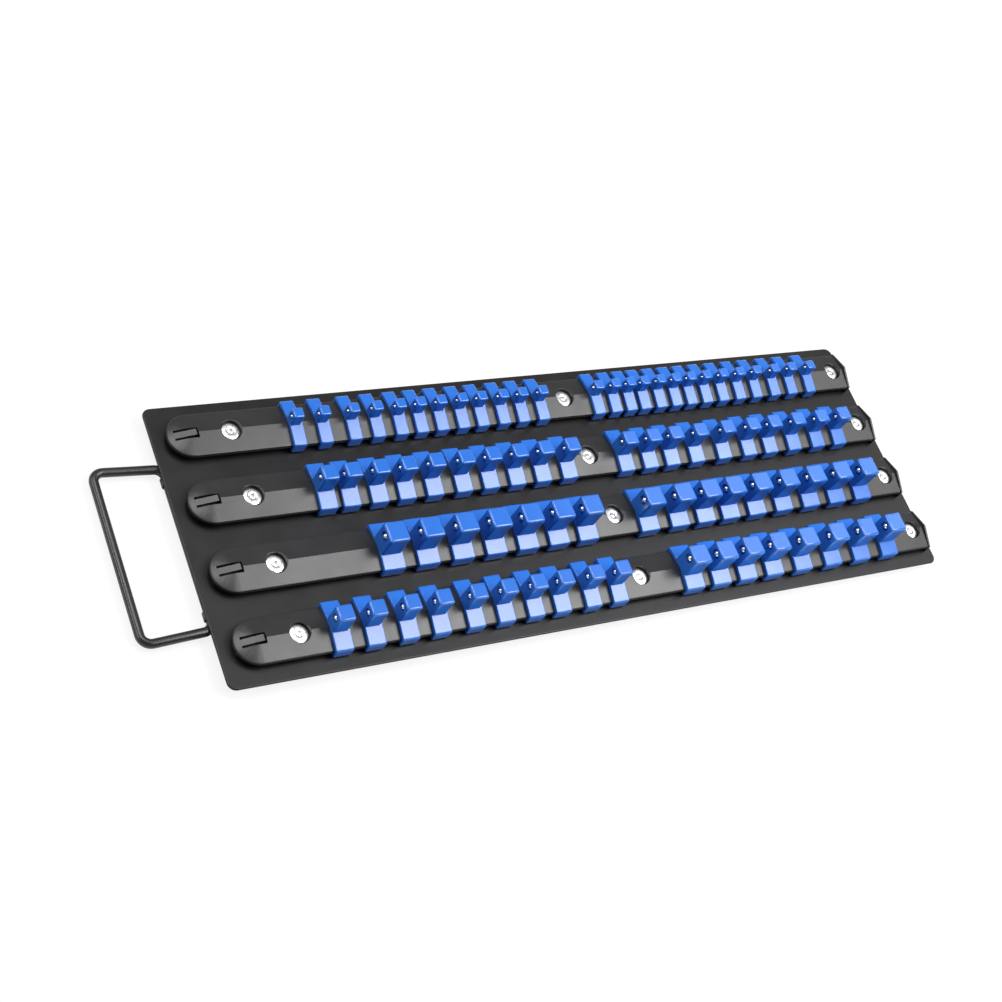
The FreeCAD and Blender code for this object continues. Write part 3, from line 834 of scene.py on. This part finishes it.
# %% Pale floor
FLOOR_HALF = 3.0
FLOOR_COLOUR, FLOOR_ROUGHNESS = (0.86, 0.86, 0.86, 1), 0.9
WHITE = (1, 1, 1, 1)
GLOW, GLOW_SHARE = 1.0, 0.85
bm = bmesh.new()
bmesh.ops.create_grid(bm, x_segments=2, y_segments=2, size=FLOOR_HALF)
mesh = bpy.data.meshes.new("pale_floor")
bm.to_mesh(mesh)
bm.free()
floor_piece = bpy.data.objects.new("pale_floor", mesh)
bpy.context.scene.collection.objects.link(floor_piece)
floor_look = bpy.data.materials.new("pale_floor_look")
floor_look.use_nodes = True
tree = floor_look.node_tree
matt = tree.nodes["Principled BSDF"]
matt.inputs["Base Color"].default_value = FLOOR_COLOUR
matt.inputs["Roughness"].default_value = FLOOR_ROUGHNESS
glow = add_node(tree, "ShaderNodeEmission", {"Color": WHITE, "Strength": GLOW})
seen = add_node(tree, "ShaderNodeLightPath", {}).outputs["Is Camera Ray"]
share = add_node(tree, "ShaderNodeMath", {0: seen, 1: GLOW_SHARE}, operation="MULTIPLY")
blend = add_node(tree, "ShaderNodeMixShader",
                 {"Fac": share.outputs["Value"], 1: matt.outputs["BSDF"], 2: glow.outputs["Emission"]})
tree.links.new(blend.outputs["Shader"], tree.nodes["Material Output"].inputs["Surface"])
mesh.materials.append(floor_look)
print("the floor is", 2 * FLOOR_HALF, "m wide")

# %% [markdown]
# ## Light
#
# One large soft lamp stands to the right and above, where the front slopes of the rails and clips mirror
# it towards the camera: that is what makes them shine while the flat tops stay blue. A weaker one over
# the rear left corner draws the stop tongues and the rounded edges, a faint one far to the right puts a
# sheen on the plate's right end, and a low strip lamp on the left lights the studs' left faces and their
# balls. Area lamps are used for all four, because their size is what makes a sheen broad and a shadow soft.

# %% Lamps
def soft_lamp(name, place, aim, width, depth, watts):
    lamp = bpy.data.lights.new(name, "AREA")
    lamp.shape = "RECTANGLE"
    lamp.size, lamp.size_y, lamp.energy = width, depth, watts
    holder = bpy.data.objects.new(name, lamp)
    bpy.context.scene.collection.objects.link(holder)
    holder.location = place
    holder.rotation_euler = (Vector(aim) - Vector(place)).to_track_quat("-Z", "Y").to_euler()
    print(name, "at", place)


soft_lamp("slope_lamp", place=(0.60, -0.25, 1.00), aim=(0.60, -0.25, 0.0), width=0.90, depth=0.78, watts=20)
soft_lamp("overhead_lamp", place=(-0.40, 0.52, 1.30), aim=(-0.40, 0.52, 0.0), width=0.9, depth=0.8,
          watts=12.5)
soft_lamp("right_lamp", place=(1.20, 0.34, 1.00), aim=(1.20, 0.34, 0.0), width=0.90, depth=0.50, watts=2.3)
soft_lamp("left_lamp", place=(-1.00, 0.38, 0.50), aim=(0.0, 0.0, 0.0), width=0.9, depth=0.16, watts=4.2)

# %% [markdown]
# The world is white to the camera, like a plain backdrop. White all round would wash the black out, so
# what glossy surfaces mirror is much dimmer, and the light that the world gives is dimmer still.

# %% World
SEEN, MIRRORED, LIGHT = 1.0, 0.30, 0.13
world = bpy.data.worlds.new("pale_world")
bpy.context.scene.world = world
world.use_nodes = True
tree = world.node_tree
rays = add_node(tree, "ShaderNodeLightPath", {})


def background(strength):
    shader = add_node(tree, "ShaderNodeBackground", {"Color": WHITE, "Strength": strength})
    return shader.outputs["Background"]


def chosen_by(ray, otherwise, chosen):
    mix = add_node(tree, "ShaderNodeMixShader", {"Fac": rays.outputs[ray], 1: otherwise, 2: chosen})
    return mix.outputs["Shader"]


unseen_world = chosen_by("Is Glossy Ray", background(LIGHT), background(MIRRORED))
sky = chosen_by("Is Camera Ray", unseen_world, background(SEEN))
tree.links.new(sky, tree.nodes["World Output"].inputs["Surface"])
print("world seen at", SEEN, "mirrored at", MIRRORED, "and lighting at", LIGHT)

# %% [markdown]
# ## The camera
#
# The camera looks down on the tray from its front left corner. It is rolled about its own axis, so the
# rows climb only a little towards the right instead of running off steeply.

# %% Camera
CAMERA_PLACE = Vector((-0.5506, -0.3747, 0.7730))
CAMERA_AIM = Vector((-0.0340, 0.0012, 0.0085))
CAMERA_ROLL = math.radians(38.95)
CAMERA_LENS, SENSOR_WIDTH = 61.25, 36
view = bpy.data.cameras.new("studio_camera")
view.lens, view.sensor_width = CAMERA_LENS, SENSOR_WIDTH
camera = bpy.data.objects.new("studio_camera", view)
bpy.context.scene.collection.objects.link(camera)
camera.location = CAMERA_PLACE
aimed = (CAMERA_AIM - CAMERA_PLACE).to_track_quat("-Z", "Y").to_matrix().to_4x4()
camera.rotation_euler = (aimed @ Matrix.Rotation(CAMERA_ROLL, 4, "Z")).to_euler()
bpy.context.scene.camera = camera
bpy.context.scene.view_settings.view_transform = "Standard"
print("camera", [round(c, 3) for c in CAMERA_PLACE])

# %% [markdown]
# ## Size
#
# The dressed tray has to be as big as the frame.

# %% Finish
print("the scene is dressed")
